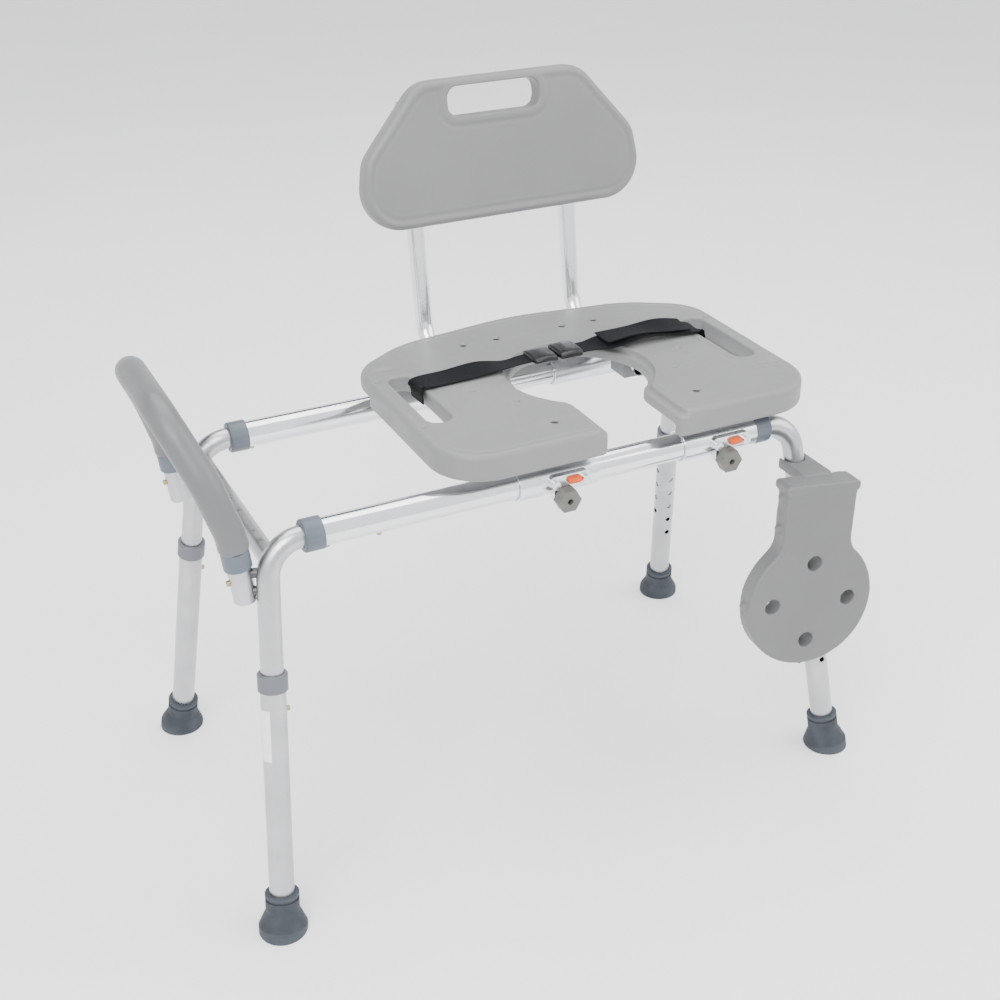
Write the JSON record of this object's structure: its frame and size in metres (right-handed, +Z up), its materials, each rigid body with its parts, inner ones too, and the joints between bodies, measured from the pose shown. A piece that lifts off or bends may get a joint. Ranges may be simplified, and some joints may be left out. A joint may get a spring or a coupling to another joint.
{
  "type": "bath transfer bench",
  "caption": "Bath transfer bench with sliding cut-out seat, backrest, one looped armrest, height-adjustable splayed legs, seat belt and stored cut-out insert.",
  "frame": {"origin": "on the floor, at the middle of the bench's bounding box", "axes": "+X along the seat rails, away from the armrest; +Y towards the backrest; +Z up"},
  "size_m": [0.8448, 0.5082, 0.8236],
  "materials": {
    "chrome_tube": "polished chrome plate",
    "satin_aluminium": "satin anodised, fine drawn lines",
    "bright_sleeve": "bright anodised",
    "nylon_liner": "natural nylon",
    "grey_collar": "moulded, fine texture",
    "blue_grey_collar": "moulded, fine texture",
    "foot_rubber": "moulded rubber",
    "brass_pin": "passivated",
    "orange_plastic": "moulded",
    "knob_plastic": "moulded, fine texture",
    "zinc_bracket": "zinc plated",
    "dark_steel": "black oxide",
    "spring_steel": "bright",
    "seat_plastic": "blow moulded, fine texture",
    "back_plastic": "blow moulded, fine texture",
    "dark_grey_plastic": "blow moulded, fine texture",
    "grip_plastic": "blow moulded, fine texture",
    "belt_webbing": "woven webbing",
    "buckle_plastic": "moulded"
  },
  "bodies": {
    "frame": {"rail_front": "chrome_tube", "rail_rear": "chrome_tube", "rail_collars": "blue_grey_collar", "carriage_stop": "brass_pin", "upper_leg_fr": "satin_aluminium", "upper_leg_br": "satin_aluminium", "brace_right": "satin_aluminium", "snap_springs_right": "spring_steel"},
    "left_end": {"upper_leg_fl": "satin_aluminium", "upper_leg_bl": "satin_aluminium", "brace_left": "satin_aluminium", "socket_front": "satin_aluminium", "socket_rear": "satin_aluminium", "socket_bolts": "dark_steel", "snap_springs_left": "spring_steel"},
    "armrest": {"arm_tube": "satin_aluminium", "arm_grip": "grip_plastic", "arm_collars": "blue_grey_collar", "arm_springs": "spring_steel"},
    "carriage": {"seat": "seat_plastic", "sleeve_front_left": "bright_sleeve", "sleeve_front_right": "bright_sleeve", "sleeve_rear_left": "bright_sleeve", "sleeve_rear_right": "bright_sleeve", "sleeve_liners": "nylon_liner", "seat_mounts": "dark_grey_plastic", "seat_screws": "dark_steel", "lock_bodies": "zinc_bracket", "back_receivers": "dark_grey_plastic", "belt_left": "belt_webbing", "belt_right": "belt_webbing", "buckle_plug": "buckle_plastic", "buckle_socket": "buckle_plastic"},
    "backrest": {"backrest": "back_plastic", "back_tubes": "chrome_tube"},
    "insert": {"insert": "dark_grey_plastic"},
    "leg_fl": {"lower_leg_fl": "satin_aluminium", "leg_collar_fl": "grey_collar", "foot_fl": "foot_rubber"},
    "button_fl": {"leg_button_fl": "brass_pin"},
    "leg_bl": {"lower_leg_bl": "satin_aluminium", "leg_collar_bl": "grey_collar", "foot_bl": "foot_rubber"},
    "button_bl": {"leg_button_bl": "brass_pin"},
    "leg_fr": {"lower_leg_fr": "satin_aluminium", "leg_collar_fr": "grey_collar", "foot_fr": "foot_rubber"},
    "button_fr": {"leg_button_fr": "brass_pin"},
    "leg_br": {"lower_leg_br": "satin_aluminium", "leg_collar_br": "grey_collar", "foot_br": "foot_rubber"},
    "button_br": {"leg_button_br": "brass_pin"},
    "rail_button_front": {"rail_button_front": "brass_pin"},
    "rail_button_rear": {"rail_button_rear": "brass_pin"},
    "arm_button_front": {"arm_button_front": "brass_pin"},
    "arm_button_rear": {"arm_button_rear": "brass_pin"},
    "knob_left": {"lock_knob_left": "knob_plastic"},
    "release_left": {"lock_button_left": "orange_plastic"},
    "knob_right": {"lock_knob_right": "knob_plastic"},
    "release_right": {"lock_button_right": "orange_plastic"}
  },
  "joints": [
    {"name": "left_end_pull", "type": "slide", "parent": "frame", "child": "left_end", "axis": [-1, 0, 0], "range_m": [0, 0.088], "deforming": ["rail_button_front", "rail_button_rear"]},
    {"name": "leg_fl_height", "type": "slide", "parent": "left_end", "child": "leg_fl", "axis": [0.0986, 0.1774, 0.9792], "range_m": [0, 0.0762], "deforming": ["leg_button_fl"]},
    {"name": "leg_button_fl_press", "type": "slide", "parent": "left_end", "child": "button_fl", "axis": [-0.9951, 0.0176, 0.097], "range_m": [0, 0.0052], "stiffness_N_per_m": 900, "springref_m": -0.0015, "deforming": ["snap_springs_left"]},
    {"name": "leg_bl_height", "type": "slide", "parent": "left_end", "child": "leg_bl", "axis": [0.0986, -0.1774, 0.9792], "range_m": [0, 0.0762], "deforming": ["leg_button_bl"]},
    {"name": "leg_button_bl_press", "type": "slide", "parent": "left_end", "child": "button_bl", "axis": [-0.9951, -0.0176, 0.097], "range_m": [0, 0.0052], "stiffness_N_per_m": 900, "springref_m": -0.0015, "deforming": ["snap_springs_left"]},
    {"name": "leg_fr_height", "type": "slide", "parent": "frame", "child": "leg_fr", "axis": [-0.0986, 0.1774, 0.9792], "range_m": [0, 0.0762], "deforming": ["leg_button_fr"]},
    {"name": "leg_button_fr_press", "type": "slide", "parent": "frame", "child": "button_fr", "axis": [0.9951, 0.0176, 0.097], "range_m": [0, 0.0052], "stiffness_N_per_m": 900, "springref_m": -0.0015, "deforming": ["snap_springs_right"]},
    {"name": "leg_br_height", "type": "slide", "parent": "frame", "child": "leg_br", "axis": [-0.0986, -0.1774, 0.9792], "range_m": [0, 0.0762], "deforming": ["leg_button_br"]},
    {"name": "leg_button_br_press", "type": "slide", "parent": "frame", "child": "button_br", "axis": [0.9951, -0.0176, 0.097], "range_m": [0, 0.0052], "stiffness_N_per_m": 900, "springref_m": -0.0015, "deforming": ["snap_springs_right"]},
    {"name": "rail_button_front_press", "type": "slide", "parent": "left_end", "child": "rail_button_front", "axis": [0, 0, 1], "range_m": [0, 0.0068], "stiffness_N_per_m": 900, "springref_m": -0.0015},
    {"name": "rail_button_rear_press", "type": "slide", "parent": "left_end", "child": "rail_button_rear", "axis": [0, 0, 1], "range_m": [0, 0.0068], "stiffness_N_per_m": 900, "springref_m": -0.0015},
    {"name": "armrest_lift", "type": "slide", "parent": "left_end", "child": "armrest", "axis": [-0.1093, 0, 0.994], "range_m": [0, 0.045], "deforming": ["arm_button_front", "arm_button_rear"]},
    {"name": "arm_button_front_press", "type": "slide", "parent": "armrest", "child": "arm_button_front", "axis": [0.994, 0, 0.1093], "range_m": [0, 0.0052], "stiffness_N_per_m": 900, "springref_m": -0.0015, "deforming": ["arm_springs"]},
    {"name": "arm_button_rear_press", "type": "slide", "parent": "armrest", "child": "arm_button_rear", "axis": [0.994, 0, 0.1093], "range_m": [0, 0.0052], "stiffness_N_per_m": 900, "springref_m": -0.0015, "deforming": ["arm_springs"]},
    {"name": "seat_slide", "type": "slide", "parent": "frame", "child": "carriage", "axis": [-1, 0, 0], "range_m": [0, 0.1605]},
    {"name": "lock_knob_left_turn", "type": "hinge", "parent": "carriage", "child": "knob_left", "pos_m": [0.01914, -0.16724, 0.437], "axis": [0, -1, 0], "range_deg": [0, 360]},
    {"name": "lock_button_left_press", "type": "slide", "parent": "carriage", "child": "release_left", "axis": [0, 1, 0], "range_m": [0, 0.0025], "stiffness_N_per_m": 900, "springref_m": -0.0015},
    {"name": "lock_knob_right_turn", "type": "hinge", "parent": "carriage", "child": "knob_right", "pos_m": [0.23614, -0.16724, 0.437], "axis": [0, -1, 0], "range_deg": [0, 360]},
    {"name": "lock_button_right_press", "type": "slide", "parent": "carriage", "child": "release_right", "axis": [0, 1, 0], "range_m": [0, 0.0025], "stiffness_N_per_m": 900, "springref_m": -0.0015},
    {"name": "backrest_pull", "type": "slide", "parent": "carriage", "child": "backrest", "axis": [0, 1, 0], "range_m": [0, 0.12]},
    {"name": "insert_unhook", "type": "slide", "parent": "frame", "child": "insert", "axis": [0, -1, 0], "range_m": [0, 0.08]}
  ]
}
